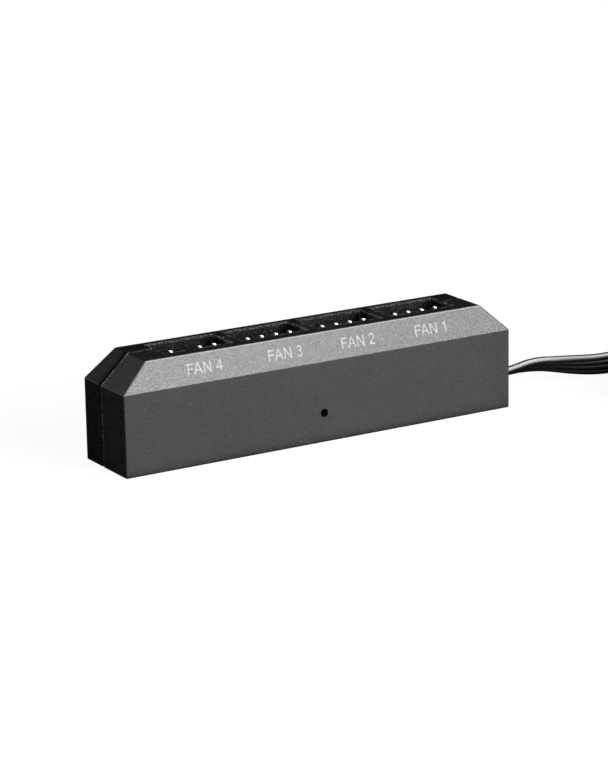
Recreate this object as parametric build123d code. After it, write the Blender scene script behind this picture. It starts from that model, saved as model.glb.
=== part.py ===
from build123d import *
import math
import os

# Four-way fan hub: a two-part moulded case round a small circuit board with four
# four-pin headers, and a flat four-core lead with a plug. All sizes in millimetres.
# X runs along the case, +X to the lead end. +Y is the back, +Z is up.
# The origin is the middle of the case's underside.

# Case, whose length follows from the header row
BODY_DEPTH = 13.0
BODY_HEIGHT = 17.4
SHOULDER_HEIGHT = 13.0  # where the end slopes and the side slopes begin
END_INSET = 4.7  # how far the end slopes lean in at the top
SIDE_INSET = 1.5  # how far the front and back slopes lean in at the top
WALL = 1.3
EDGE_RADIUS = 0.25
PARTING_Y = 1.0  # the two shells meet on this upright plane
RIM_BREAK = 0.15  # broken edge of the front shell along the parting line
GROOVE_WIDTH = 0.6  # shadow gap beside the parting line
GROOVE_DEPTH = 0.4
LIP_LENGTH = 1.0  # tongue of the front shell that enters the rear shell
LIP_CLEARANCE = 0.1

# Snap hooks on the front shell
HOOK_WIDTH = 3.6
HOOK_THICKNESS = 0.9
HOOK_ROOT = 1.6
HOOK_REACH = 2.8
HOOK_BARB = 0.4
HOOK_BARB_LENGTH = 1.2
HOOK_CLEARANCE = 0.1
END_HOOK_HEIGHT = 9.2

# Header row
HEADER_COUNT = 4
HEADER_PITCH = 13.53
LEFT_END = 9.435  # from the last socket to the left end of the case, room for the can
RIGHT_END = 8.575  # from the first socket to the right end of the case, room for the lead
SOCKET_END_CLEARANCE = 0.2  # round the header
SOCKET_SIDE_CLEARANCE = 0.1
SOCKET_FRONT_Y = -2.5
SOCKET_WALL = 1.0
MOUTH_BREAK = 0.2  # broken edge round a socket's mouth
SOCKET_FOOT = 1.4  # gap between the board and the socket walls

# Fan header
HEADER_LENGTH = 11.0
HEADER_DEPTH = 5.8
HEADER_BASE_HEIGHT = 3.6
TAB_THICKNESS = 1.0
TAB_END = 3.2  # right end of the lock tab, from the header's middle
TAB_SINK = 0.3  # top of the tab below the top of the case
TAB_LEAD_IN = 0.4
LOCK_RIDGE = 0.35
LOCK_RIDGE_DROP = 2.6
PIN_SIZE = 0.64
PIN_PITCH = 2.54
PIN_COUNT = 4
PIN_INSET = 1.9  # pin row behind the front wall of the socket
PIN_SINK = 0.35  # pin tips below the top of the case
PIN_POINT = 0.12
PIN_CLEARANCE = 0.02
PIN_TAIL = 1.0
LOW_PIN_DROP = 0.3  # one pin of the last header is pressed in deeper

# Circuit board
BOARD_THICKNESS = 1.6
BOARD_TOP = 4.2
BOARD_CLEARANCE = 0.15  # to the front and back walls
BOARD_END_CLEARANCE = 0.3
BOARD_HOLE_RADIUS = 0.5
RIB_WIDTH = 1.2
RIB_REACH = 0.9
RIB_CAP = 1.2
RIB_CLEARANCE = 0.1
RIB_END_INSET = 4.0  # end ribs, from the ends of the case

# Indicator
LED_LENGTH = 3.0
LED_DEPTH = 1.0
LED_HEIGHT = 1.1
LED_SETBACK = 0.2
LED_LENS_RADIUS = 0.5
LED_LENS_PROUD = 0.2
LED_X = 0.0
LED_HOLE_RADIUS = 0.68

# Parts on the board
CAN_RADIUS = 2.5
CAN_HEIGHT = 5.0
CAN_BEAD_DEPTH = 0.2
CAN_BEAD_HEIGHT = 1.0
CAN_EDGE = 0.3
CAN_BASE_SIZE = 5.3
CAN_BASE_HEIGHT = 0.9
CAN_BASE_CHAMFER = 1.2
CAN_GAP = 0.525  # from the base to the socket walls
CHIP_LENGTH = 1.6
CHIP_WIDTH = 0.8
CHIP_HEIGHT = 0.45
CHIP_EDGE = 0.08
RESISTOR_SPACING = 2.6  # from the middle of the indicator
CHIP_CAPACITOR_Y = 1.2
CHIP_CAPACITOR_GAP = 0.2  # from the header's left end

# Lead
CORE_COUNT = 4
CORE_PITCH = 1.2
CORE_RADIUS = 0.6
RIBBON_CLEARANCE = 0.05
BARE_CORE_RADIUS = 0.25
BARE_CORE_LENGTH = 2.6
CLAMP_LENGTH = 0.8
CLAMP_HEIGHT = 2.0
CLAMP_GAP = 0.5  # from the end wall
RIBBON_INSIDE = 3.4  # length of jacket inside the case
ARC_SHARE = 0.45  # share of the shorter run that an arc of the lead takes up

# Coil, tie and plug of the lead
TIE_THICKNESS = 0.4
TIE_WIDTH = 2.5
TIE_CLEARANCE = 0.1
TIE_HEAD = 3.0
TIE_ANGLE = -60.0
COIL_X = 73.2
COIL_LEAD_IN = 11.4
COIL_RADIUS = 20.5
COIL_TURNS = 2.0
COIL_PITCH = 1.9
COIL_TAIL_RADIUS = 10.0
COIL_TAIL_TURN = 140.0
FANOUT_LENGTH = 4.0
FANOUT_RADIUS = 0.55
PLUG_LENGTH = 12.2
PLUG_HEIGHT = 4.8
PLUG_RIB_HEIGHT = 1.0
PLUG_RIB_WIDTH = 1.2
PLUG_RIB_LENGTH = 8.0
PLUG_RIB_SPACING = 6.4
PLUG_EDGE = 0.3
PLUG_CAVITY = 2.0
PLUG_MOUTH = 1.1
PLUG_FACE = 1.0
PLUG_WINDOW_LENGTH = 2.4
PLUG_WINDOW_WIDTH = 1.3
PLUG_WINDOW_X = 5.0
TERMINAL_SIZE = 1.9
TERMINAL_BARREL_LENGTH = 3.0
TERMINAL_BARREL_RADIUS = 0.8
TERMINAL_BORE = 0.7

# Sizes and places that follow from the ones above
SOCKET_LENGTH = HEADER_LENGTH + 2 * SOCKET_END_CLEARANCE
SOCKET_DEPTH = HEADER_DEPTH + 2 * SOCKET_SIDE_CLEARANCE
ROW_LENGTH = HEADER_PITCH * (HEADER_COUNT - 1) + SOCKET_LENGTH
BODY_LENGTH = LEFT_END + ROW_LENGTH + RIGHT_END
ROW_MIDDLE = (LEFT_END - RIGHT_END) / 2
SOCKET_BACK_Y = SOCKET_FRONT_Y + SOCKET_DEPTH
SOCKET_FOOT_Z = BOARD_TOP + SOCKET_FOOT
HEADER_FRONT_Y = SOCKET_FRONT_Y + SOCKET_SIDE_CLEARANCE
HEADER_BACK_Y = HEADER_FRONT_Y + HEADER_DEPTH
HEADER_BASE_TOP = BOARD_TOP + HEADER_BASE_HEIGHT
TAB_TOP = BODY_HEIGHT - TAB_SINK
PIN_Y = SOCKET_FRONT_Y + PIN_INSET
PIN_TOP = BODY_HEIGHT - PIN_SINK
BOARD_BOTTOM = BOARD_TOP - BOARD_THICKNESS
PIN_BOTTOM = BOARD_BOTTOM - PIN_TAIL
INNER_HALF_LENGTH = BODY_LENGTH / 2 - WALL
INNER_HALF_DEPTH = BODY_DEPTH / 2 - WALL
BOARD_HALF_LENGTH = INNER_HALF_LENGTH - BOARD_END_CLEARANCE
BOARD_HALF_DEPTH = INNER_HALF_DEPTH - BOARD_CLEARANCE
CAN_X = ROW_MIDDLE - ROW_LENGTH / 2 - SOCKET_WALL - CAN_GAP - CAN_BASE_SIZE / 2
LED_Z = BOARD_TOP + LED_HEIGHT / 2
LED_FRONT_Y = -BOARD_HALF_DEPTH + LED_SETBACK
RIBBON_WIDTH = CORE_PITCH * (CORE_COUNT - 1) + 2 * CORE_RADIUS
RIBBON_Y = PARTING_Y - RIBBON_CLEARANCE - RIBBON_WIDTH / 2
RIBBON_Z = BOARD_TOP + CORE_RADIUS
RIBBON_START_X = BODY_LENGTH / 2 - RIBBON_INSIDE
COIL_Z = TIE_THICKNESS + RIBBON_WIDTH / 2
COIL_Y = RIBBON_Y - COIL_RADIUS
COIL_INNER_RADIUS = COIL_RADIUS - COIL_PITCH * COIL_TURNS
PLUG_WIDTH = PIN_PITCH * CORE_COUNT
HEADER_X = [ROW_MIDDLE + HEADER_PITCH * ((HEADER_COUNT - 1) / 2 - i) for i in range(HEADER_COUNT)]
BAR_X = [ROW_MIDDLE + HEADER_PITCH * ((HEADER_COUNT - 2) / 2 - i) for i in range(HEADER_COUNT - 1)]
PIN_STEPS = [PIN_PITCH * (i - (PIN_COUNT - 1) / 2) for i in range(PIN_COUNT)]
CORE_STEPS = [CORE_PITCH * (i - (CORE_COUNT - 1) / 2) for i in range(CORE_COUNT)]
CAVITY_STEPS = [PIN_PITCH * (i - (CORE_COUNT - 1) / 2) for i in range(CORE_COUNT)]
HUGE = BODY_LENGTH + BODY_DEPTH + BODY_HEIGHT

# Route of the lead from the board to the coil, as (x, z) on the plane of the ribbon's middle
LEAD_ROUTE = [(RIBBON_START_X, RIBBON_Z), (43.6, RIBBON_Z), (55.6, COIL_Z), (COIL_X - COIL_LEAD_IN, COIL_Z)]


def span(x0, x1, y0, y1, z0, z1):
    """A block between two corners."""
    block = Box(x1 - x0, y1 - y0, z1 - z0)
    return Pos((x0 + x1) / 2, (y0 + y1) / 2, (z0 + z1) / 2) * block


def sloped_outline(half_width, top_inset, inset):
    """A house-shaped outline with sloped shoulders, drawn in by inset on every side."""
    points = [
        (-half_width, 0),
        (half_width, 0),
        (half_width, SHOULDER_HEIGHT),
        (half_width - top_inset, BODY_HEIGHT),
        (top_inset - half_width, BODY_HEIGHT),
        (-half_width, SHOULDER_HEIGHT),
    ]
    face = make_face(Polyline(*points, close=True))
    return offset(face, -inset, kind=Kind.INTERSECTION) if inset else face


def front_outline(inset):
    """The case seen from the front."""
    return Plane.XZ * sloped_outline(BODY_LENGTH / 2, END_INSET, inset)


def end_outline(inset):
    """The case seen from its end."""
    return Plane.YZ * sloped_outline(BODY_DEPTH / 2, SIDE_INSET, inset)


def case_block(inset=0.0):
    """The solid case, drawn in by inset: the front outline and the end outline crossed."""
    along = extrude(front_outline(inset), BODY_DEPTH / 2 - inset, both=True)
    across = extrude(end_outline(inset), BODY_LENGTH / 2 - inset, both=True)
    return along & across


def ring_at_parting(outer_inset, inner_inset, length):
    """A ring of wall that starts at the parting plane and runs back by length."""
    ring = front_outline(outer_inset) - front_outline(inner_inset)
    return Pos(0, PARTING_Y + length, 0) * extrude(ring, length)


def sockets():
    """The four header openings, cut down from above, with a broken edge round each mouth."""
    half = SOCKET_LENGTH / 2
    cuts = [span(x - half, x + half, SOCKET_FRONT_Y, SOCKET_BACK_Y, SOCKET_FOOT_Z, HUGE) for x in HEADER_X]
    mouth = extrude(Rectangle(SOCKET_LENGTH, SOCKET_DEPTH), 2 * MOUTH_BREAK, taper=-45)
    middle_y = (SOCKET_FRONT_Y + SOCKET_BACK_Y) / 2
    cuts += [Pos(x, middle_y, BODY_HEIGHT - MOUTH_BREAK) * mouth for x in HEADER_X]
    return Part() + cuts


def socket_walls():
    """The moulded block under the top wall, whose openings guide the plugs."""
    reach = SOCKET_LENGTH / 2 + SOCKET_WALL
    front = SOCKET_FRONT_Y - SOCKET_WALL
    back = SOCKET_BACK_Y + SOCKET_WALL
    block = span(HEADER_X[-1] - reach, HEADER_X[0] + reach, front, back, SOCKET_FOOT_Z, BODY_HEIGHT)
    return block & case_block(WALL / 2)


def hook_planes():
    """Where the hooks sit: on the floor between headers and on both end walls, with local X along +Y."""
    floor = [Plane((x, 0, WALL), x_dir=(0, 1, 0), z_dir=(1, 0, 0)) for x in (BAR_X[0], BAR_X[-1])]
    left = Plane((-INNER_HALF_LENGTH, 0, END_HOOK_HEIGHT), x_dir=(0, 1, 0), z_dir=(0, 0, -1))
    right = Plane((INNER_HALF_LENGTH, 0, END_HOOK_HEIGHT), x_dir=(0, 1, 0), z_dir=(0, 0, 1))
    return floor + [left, right]


def snap_hook(plane):
    """A hook that springs over the rear shell's edge: root in the wall, arm, and a barb at the tip."""
    tip = PARTING_Y + HOOK_REACH
    arm_top = HOOK_CLEARANCE + HOOK_THICKNESS
    points = [
        (PARTING_Y - HOOK_ROOT, -WALL / 2),
        (PARTING_Y - HOOK_CLEARANCE, -WALL / 2),
        (PARTING_Y - HOOK_CLEARANCE, HOOK_CLEARANCE),
        (tip - HOOK_BARB_LENGTH, HOOK_CLEARANCE),
        (tip - HOOK_BARB_LENGTH, -HOOK_BARB),
        (tip, HOOK_CLEARANCE),
        (tip, arm_top),
        (PARTING_Y - HOOK_ROOT, arm_top),
    ]
    return extrude(plane * make_face(Polyline(*points, close=True)), HOOK_WIDTH / 2, both=True)


def hook_pocket(plane):
    """The recess in the rear shell's wall that a barb drops into."""
    tip = PARTING_Y + HOOK_REACH
    length = HOOK_BARB_LENGTH + 2 * HOOK_CLEARANCE
    depth = HOOK_BARB + HOOK_CLEARANCE
    middle = plane * Pos(tip - HOOK_BARB_LENGTH / 2, 0)
    width = HOOK_WIDTH + 2 * HOOK_CLEARANCE
    return middle * Box(length, 2 * depth, width)


def board_ribs(side):
    """Slotted ribs along one long wall that hold the board's edge; side is -1 for the front."""
    end = BODY_LENGTH / 2 - RIB_END_INSET
    wall_y = side * (INNER_HALF_DEPTH + WALL / 2)
    tip_y = side * (INNER_HALF_DEPTH - RIB_REACH)
    near, far = sorted((wall_y, tip_y))
    ribs = Part()
    for x in (-end, BAR_X[-1], BAR_X[0], end):
        ribs += span(x - RIB_WIDTH / 2, x + RIB_WIDTH / 2, near, far, WALL / 2, BOARD_TOP + RIB_CAP)
    slot_y = BOARD_HALF_DEPTH + BOARD_CLEARANCE
    slot = span(-HUGE, HUGE, -slot_y, slot_y, BOARD_BOTTOM, BOARD_TOP + RIB_CLEARANCE)
    return ribs - slot


def lead_notch():
    """The notch in the front shell's end wall that the ribbon leaves through."""
    low = RIBBON_Y - RIBBON_WIDTH / 2 - RIBBON_CLEARANCE
    half = CORE_RADIUS + RIBBON_CLEARANCE
    return span(INNER_HALF_LENGTH - WALL, HUGE, low, PARTING_Y, RIBBON_Z - half, RIBBON_Z + half)


def lead_clamp():
    """A rib over the ribbon just inside the end wall, rooted in the front wall."""
    x1 = INNER_HALF_LENGTH - CLAMP_GAP
    z0 = RIBBON_Z + CORE_RADIUS + RIBBON_CLEARANCE
    y0 = -INNER_HALF_DEPTH - WALL / 2
    return span(x1 - CLAMP_LENGTH, x1, y0, PARTING_Y - LIP_CLEARANCE, z0, z0 + CLAMP_HEIGHT)


def indicator_hole():
    """The round hole in the front face that the light shows through."""
    hole = Cylinder(LED_HOLE_RADIUS, 2 * WALL, rotation=(90, 0, 0))
    return Pos(LED_X, -BODY_DEPTH / 2 + WALL / 2, LED_Z) * hole


def make_front_shell():
    rounded = fillet(case_block().edges(), EDGE_RADIUS)
    inside = span(-HUGE, HUGE, -HUGE, PARTING_Y, -HUGE, HUGE)
    shell = rounded & inside
    rim = shell.faces().sort_by(Axis.Y)[-1]
    shell = chamfer(rim.edges(), RIM_BREAK)
    shell -= case_block(WALL)
    shell += socket_walls() & inside
    shell += ring_at_parting(WALL / 2 + LIP_CLEARANCE, WALL, LIP_LENGTH)
    shell -= sockets()
    shell += board_ribs(-1)
    shell += lead_clamp()
    shell += [snap_hook(plane) for plane in hook_planes()]
    shell -= lead_notch()
    shell -= indicator_hole()
    return shell


def make_rear_shell():
    rounded = fillet(case_block().edges(), EDGE_RADIUS)
    inside = span(-HUGE, HUGE, PARTING_Y, HUGE, -HUGE, HUGE)
    shell = rounded & inside
    shell -= case_block(WALL)
    shell += socket_walls() & inside
    shell -= ring_at_parting(WALL / 2, WALL + LIP_CLEARANCE, LIP_LENGTH + LIP_CLEARANCE)
    shell -= ring_at_parting(-WALL, GROOVE_DEPTH, GROOVE_WIDTH)
    shell -= sockets()
    shell += board_ribs(1)
    shell -= [hook_pocket(plane) for plane in hook_planes()]
    return shell


def make_board():
    board = span(
        -BOARD_HALF_LENGTH, BOARD_HALF_LENGTH, -BOARD_HALF_DEPTH, BOARD_HALF_DEPTH, BOARD_BOTTOM, BOARD_TOP
    )
    hole = Cylinder(BOARD_HOLE_RADIUS, 2 * BOARD_THICKNESS)
    middle = (BOARD_BOTTOM + BOARD_TOP) / 2
    return board - [Pos(x + step, PIN_Y, middle) * hole for x in HEADER_X for step in PIN_STEPS]


def make_header(x):
    """A header housing: a base with pin holes and an upright lock tab along its back."""
    half = HEADER_LENGTH / 2
    base = span(x - half, x + half, HEADER_FRONT_Y, HEADER_BACK_Y, BOARD_TOP, HEADER_BASE_TOP)
    tab_front = HEADER_BACK_Y - TAB_THICKNESS
    ridge_z = TAB_TOP - LOCK_RIDGE_DROP
    points = [
        (HEADER_BACK_Y, BOARD_TOP),
        (HEADER_BACK_Y, TAB_TOP),
        (tab_front + TAB_LEAD_IN, TAB_TOP),
        (tab_front, TAB_TOP - TAB_LEAD_IN),
        (tab_front, ridge_z + LOCK_RIDGE),
        (tab_front - LOCK_RIDGE, ridge_z),
        (tab_front, ridge_z - LOCK_RIDGE),
        (tab_front, BOARD_TOP),
    ]
    profile = Plane.YZ * make_face(Polyline(*points, close=True))
    tab = Pos(x - half, 0, 0) * extrude(profile, half + TAB_END)
    hole = Box(PIN_SIZE + 2 * PIN_CLEARANCE, PIN_SIZE + 2 * PIN_CLEARANCE, 2 * HEADER_BASE_HEIGHT)
    holes = [Pos(x + step, PIN_Y, (BOARD_TOP + HEADER_BASE_TOP) / 2) * hole for step in PIN_STEPS]
    return base + tab - holes


def make_pin(x, drop):
    """A square pin with a pointed tip, through the housing and the board."""
    half = PIN_SIZE / 2
    pin = span(x - half, x + half, PIN_Y - half, PIN_Y + half, PIN_BOTTOM, PIN_TOP - drop)
    return chamfer(pin.faces().sort_by(Axis.Z)[-1].edges(), PIN_POINT)


def make_pins(number):
    x = HEADER_X[number]
    drops = [0.0] * PIN_COUNT
    if number == HEADER_COUNT - 1:
        drops[1] = LOW_PIN_DROP
    return Compound(children=[make_pin(x + step, drop) for step, drop in zip(PIN_STEPS, drops)])


def make_led():
    half = LED_LENGTH / 2
    back_y = LED_FRONT_Y + LED_DEPTH
    body = span(LED_X - half, LED_X + half, LED_FRONT_Y, back_y, BOARD_TOP, BOARD_TOP + LED_HEIGHT)
    lens = Cylinder(LED_LENS_RADIUS, LED_LENS_PROUD + LED_DEPTH, rotation=(90, 0, 0))
    return body + Pos(LED_X, LED_FRONT_Y + (LED_DEPTH - LED_LENS_PROUD) / 2, LED_Z) * lens


def make_can():
    """The capacitor's can, turned: a bead rolled in near the foot and a rounded top edge."""
    z0 = BOARD_TOP + CAN_BASE_HEIGHT
    z1 = z0 + CAN_HEIGHT
    bead = z0 + CAN_BEAD_HEIGHT
    neck = CAN_RADIUS - CAN_BEAD_DEPTH
    points = [
        (0, z0),
        (CAN_RADIUS, z0),
        (CAN_RADIUS, bead - CAN_BEAD_DEPTH),
        (neck, bead),
        (CAN_RADIUS, bead + CAN_BEAD_DEPTH),
        (CAN_RADIUS, z1 - CAN_EDGE),
        (CAN_RADIUS - CAN_EDGE, z1),
        (0, z1),
    ]
    profile = Plane.XZ * make_face(Polyline(*points, close=True))
    return Pos(CAN_X, 0, 0) * revolve(profile, Axis.Z)


def make_can_base():
    """The square base under the can, with two corners cut as a polarity mark."""
    half = CAN_BASE_SIZE / 2
    base = span(CAN_X - half, CAN_X + half, -half, half, BOARD_TOP, BOARD_TOP + CAN_BASE_HEIGHT)
    cut = base.edges().filter_by(Axis.Z).group_by(Axis.X)[0]
    return chamfer(cut, CAN_BASE_CHAMFER)


def make_chip(x, y, across=False):
    """A chip part lying on the board, its length along X or across it."""
    length, width = (CHIP_WIDTH, CHIP_LENGTH) if across else (CHIP_LENGTH, CHIP_WIDTH)
    chip = Pos(x, y, BOARD_TOP + CHIP_HEIGHT / 2) * Box(length, width, CHIP_HEIGHT)
    return chamfer(chip.faces().sort_by(Axis.Z)[-1].edges(), CHIP_EDGE)


def make_resistors():
    y = LED_FRONT_Y + LED_DEPTH / 2
    return Compound(children=[make_chip(LED_X + side * RESISTOR_SPACING, y) for side in (-1, 1)])


def make_chip_capacitors():
    """One by the left end of each header, lying across the board."""
    step = HEADER_LENGTH / 2 + CHIP_CAPACITOR_GAP + CHIP_WIDTH / 2
    return Compound(children=[make_chip(x - step, CHIP_CAPACITOR_Y, across=True) for x in HEADER_X])


def make_bare_cores():
    z = BOARD_TOP + BARE_CORE_RADIUS
    core = Cylinder(BARE_CORE_RADIUS, BARE_CORE_LENGTH, rotation=(0, 90, 0))
    x = RIBBON_START_X - BARE_CORE_LENGTH / 2
    return Compound(children=[Pos(x, RIBBON_Y + step, z) * core for step in CORE_STEPS])


def make_ribbon():
    """The flat lead along its route, each corner rounded as far as its runs allow."""
    points = [Vector(x, RIBBON_Y, z) for x, z in LEAD_ROUTE]
    radii = []
    for before, corner, after in zip(points, points[1:], points[2:]):
        turn = math.radians((corner - before).get_angle(after - corner))
        shorter = min((corner - before).length, (after - corner).length)
        radii.append(ARC_SHARE * shorter / math.tan(turn / 2))
    print("lead radii", [round(r, 1) for r in radii])
    path = FilletPolyline(*points, radius=radii)
    start = Plane(points[0], x_dir=(0, 1, 0), z_dir=(1, 0, 0))
    section = start * SlotOverall(RIBBON_WIDTH, 2 * CORE_RADIUS)
    ribbon = sweep(section, path)
    print("lead volume", round(ribbon.volume, 2))
    print("section times length", round(section.area * path.length, 2))
    return ribbon


def coil_tail():
    """The last stretch of the coil's inner turn, which curls in to the plug."""
    return JernArc((0, COIL_INNER_RADIUS), (1, 0), COIL_TAIL_RADIUS, -COIL_TAIL_TURN)


def make_coil():
    """The outer shape of the wound ribbon, which stands on edge, with its run-in and its tail."""
    ring = Circle(COIL_RADIUS + CORE_RADIUS) - Circle(COIL_INNER_RADIUS - CORE_RADIUS)
    run_in = Pos(-COIL_LEAD_IN / 2, COIL_RADIUS) * Rectangle(COIL_LEAD_IN, 2 * CORE_RADIUS)
    outline = ring + run_in + trace(coil_tail(), 2 * CORE_RADIUS)
    return Pos(COIL_X, COIL_Y, TIE_THICKNESS) * extrude(outline, RIBBON_WIDTH)


def make_tie():
    """A band round the coil's turns, with a head outside the ring."""
    inner = COIL_INNER_RADIUS - CORE_RADIUS - TIE_CLEARANCE
    outer = COIL_RADIUS + CORE_RADIUS + TIE_CLEARANCE
    top = TIE_THICKNESS + RIBBON_WIDTH + TIE_CLEARANCE
    half = TIE_WIDTH / 2
    band = span(inner - TIE_THICKNESS, outer + TIE_THICKNESS, -half, half, 0, top + TIE_THICKNESS)
    head_half = TIE_HEAD / 2
    head_top = TIE_THICKNESS + TIE_HEAD
    head = span(outer, outer + TIE_HEAD, -head_half, head_half, TIE_THICKNESS, head_top)
    window = span(inner, outer, -TIE_HEAD, TIE_HEAD, TIE_THICKNESS, top)
    return Pos(COIL_X, COIL_Y, 0) * Rot(0, 0, TIE_ANGLE) * (band + head - window)


def at_lead_end():
    """The place where the ribbon ends, with local X along the lead."""
    tail = coil_tail()
    end = tail @ 1
    along = tail % 1
    heading = math.degrees(math.atan2(along.Y, along.X))
    return Pos(COIL_X + end.X, COIL_Y + end.Y, 0) * Rot(0, 0, heading)


def make_fanout():
    """Four cores that turn from the upright ribbon to the row of the plug."""
    gap = span(0, FANOUT_LENGTH, -HUGE, HUGE, -HUGE, HUGE)
    cores = []
    for low, wide in zip(CORE_STEPS, CAVITY_STEPS):
        start = Vector(0, 0, COIL_Z + low)
        way = Vector(FANOUT_LENGTH, wide, PLUG_HEIGHT / 2) - start
        plane = Plane(start - way, z_dir=way)
        core = extrude(plane * Circle(FANOUT_RADIUS), 3 * way.length)
        cores.append(at_lead_end() * (core & gap))
    return Compound(children=cores)


def make_plug():
    """A female plug: a block with a cavity for each core, lance windows and two key ribs."""
    half = PLUG_WIDTH / 2
    block = span(0, PLUG_LENGTH, -half, half, 0, PLUG_HEIGHT)
    block = chamfer(block.faces().sort_by(Axis.X)[-1].edges(), PLUG_EDGE)
    rib_half = PLUG_RIB_WIDTH / 2
    rib = span(0, PLUG_RIB_LENGTH, -rib_half, rib_half, 0, PLUG_HEIGHT + PLUG_RIB_HEIGHT)
    first = half - rib_half
    block += [Pos(0, first, 0) * rib, Pos(0, first - PLUG_RIB_SPACING, 0) * rib]
    cavity_half = PLUG_CAVITY / 2
    cavity_end = PLUG_LENGTH - PLUG_FACE
    cavity = span(-PLUG_FACE, cavity_end, -cavity_half, cavity_half, -cavity_half, cavity_half)
    mouth = Box(4 * PLUG_LENGTH, PLUG_MOUTH, PLUG_MOUTH)
    window = Box(PLUG_WINDOW_LENGTH, PLUG_WINDOW_WIDTH, PLUG_HEIGHT)
    for y in CAVITY_STEPS:
        block -= Pos(0, y, PLUG_HEIGHT / 2) * cavity
        block -= Pos(0, y, PLUG_HEIGHT / 2) * mouth
        block -= Pos(PLUG_WINDOW_X, y, 0) * window
    return at_lead_end() * Pos(FANOUT_LENGTH, 0, 0) * block


def make_terminals():
    """Crimp terminals in the plug: a barrel on the core and a square contact box."""
    half = TERMINAL_SIZE / 2
    end = PLUG_LENGTH - PLUG_FACE
    barrel = Cylinder(TERMINAL_BARREL_RADIUS, TERMINAL_BARREL_LENGTH, rotation=(0, 90, 0))
    contact = span(TERMINAL_BARREL_LENGTH, end, -half, half, -half, half)
    bore_start = TERMINAL_BARREL_LENGTH + TERMINAL_SIZE
    bore_half = TERMINAL_BORE / 2
    bore = span(bore_start, 2 * end, -bore_half, bore_half, -bore_half, bore_half)
    terminal = contact - bore + Pos(TERMINAL_BARREL_LENGTH / 2, 0, 0) * barrel
    place = at_lead_end() * Pos(FANOUT_LENGTH, 0, PLUG_HEIGHT / 2)
    return Compound(children=[place * Pos(0, y, 0) * terminal for y in CAVITY_STEPS])


pieces = {
    "front_shell": make_front_shell(),
    "rear_shell": make_rear_shell(),
    "circuit_board": make_board(),
    "indicator_led": make_led(),
    "bulk_capacitor": make_can(),
    "capacitor_base": make_can_base(),
    "chip_resistors": make_resistors(),
    "chip_capacitors": make_chip_capacitors(),
    "lead_cores": make_bare_cores(),
    "lead_ribbon": make_ribbon(),
    "lead_coil": make_coil(),
    "lead_tie": make_tie(),
    "lead_fanout": make_fanout(),
    "plug_housing": make_plug(),
    "plug_terminals": make_terminals(),
}
for number, header_x in enumerate(HEADER_X):
    pieces[f"fan_header_{number + 1}"] = make_header(header_x)
    pieces[f"header_pins_{number + 1}"] = make_pins(number)

os.makedirs("parts", exist_ok=True)
for name, piece in pieces.items():
    export_step(piece, f"parts/{name}.step")
print(len(pieces), "nodes written")
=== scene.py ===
# %% [markdown]
# # A four-way fan hub
#
# The object is a slim black box with sloped shoulders. Four fan plugs go into its top, a small hole in
# its front shows an indicator, and a flat lead leaves its right end. The solids come ready made, at their
# real size. This lesson gives them their finishes, makes the lead and the printed labels, and sets up a
# small studio round them.

import math

import bpy
import numpy as np
from mathutils import Matrix, Vector


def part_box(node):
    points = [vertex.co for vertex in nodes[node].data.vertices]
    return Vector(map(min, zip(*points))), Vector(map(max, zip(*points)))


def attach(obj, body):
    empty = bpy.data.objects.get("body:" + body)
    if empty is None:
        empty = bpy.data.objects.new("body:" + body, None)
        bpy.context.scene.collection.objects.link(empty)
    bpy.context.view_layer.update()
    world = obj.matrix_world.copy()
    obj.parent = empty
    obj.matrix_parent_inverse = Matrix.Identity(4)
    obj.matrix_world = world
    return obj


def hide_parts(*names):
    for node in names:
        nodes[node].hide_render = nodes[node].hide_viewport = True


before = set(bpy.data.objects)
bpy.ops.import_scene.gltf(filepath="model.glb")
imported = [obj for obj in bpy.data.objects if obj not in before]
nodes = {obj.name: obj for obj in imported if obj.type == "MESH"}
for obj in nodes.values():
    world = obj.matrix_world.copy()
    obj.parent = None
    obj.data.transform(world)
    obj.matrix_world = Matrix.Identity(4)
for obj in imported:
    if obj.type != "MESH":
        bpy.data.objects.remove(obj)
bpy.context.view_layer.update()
MM = 0.001  # one millimetre in metres

# %% [markdown]
# ## The camera
#
# The camera comes first, because the photograph fixes it. Its place was found by matching the corners of
# the case and the tips of the pins, and it is written here as a photographer would say it: how far round,
# how high, how far away, and how much the camera leans.

# %% Camera
AZIMUTH = math.radians(-30.845)  # to the left of straight in front
ELEVATION = math.radians(15.386)
ROLL = math.radians(-1.003)
DISTANCE = 471.57 * MM
AIM = np.array([0.284, 0.0, 8.549]) * MM  # the point at the middle of the picture
SENSOR_WIDTH = 36.0
FOCAL_PIXELS = 3000.0
PICTURE_HEIGHT = 760


def camera_axes():
    """Right, up and back: azimuth and elevation turn the camera, then roll leans it about its own axis."""
    back = np.array([
        math.sin(AZIMUTH) * math.cos(ELEVATION),
        -math.cos(AZIMUTH) * math.cos(ELEVATION),
        math.sin(ELEVATION),
    ])
    level = np.array([math.cos(AZIMUTH), math.sin(AZIMUTH), 0.0])
    right = math.cos(ROLL) * level + math.sin(ROLL) * np.cross(back, level)
    return right, np.cross(back, right), back


def make_camera():
    """A camera whose matrix has those axes as columns and stands back from the aim by the distance."""
    data = bpy.data.cameras.new("camera")
    data.sensor_width = SENSOR_WIDTH
    data.lens = FOCAL_PIXELS * SENSOR_WIDTH / PICTURE_HEIGHT
    camera = bpy.data.objects.new("camera", data)
    right, up, back = camera_axes()
    columns = np.stack([right, up, back, AIM + DISTANCE * back], axis=1)
    camera.matrix_world = Matrix(np.vstack([columns, [0, 0, 0, 1]]).tolist())
    bpy.context.scene.collection.objects.link(camera)
    bpy.context.scene.camera = camera
    return camera


camera = make_camera()
camera_at = [round(x / MM, 1) for x in camera.matrix_world.translation]
print("camera at", camera_at, "mm, lens", round(camera.data.lens, 1), "mm")

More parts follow.
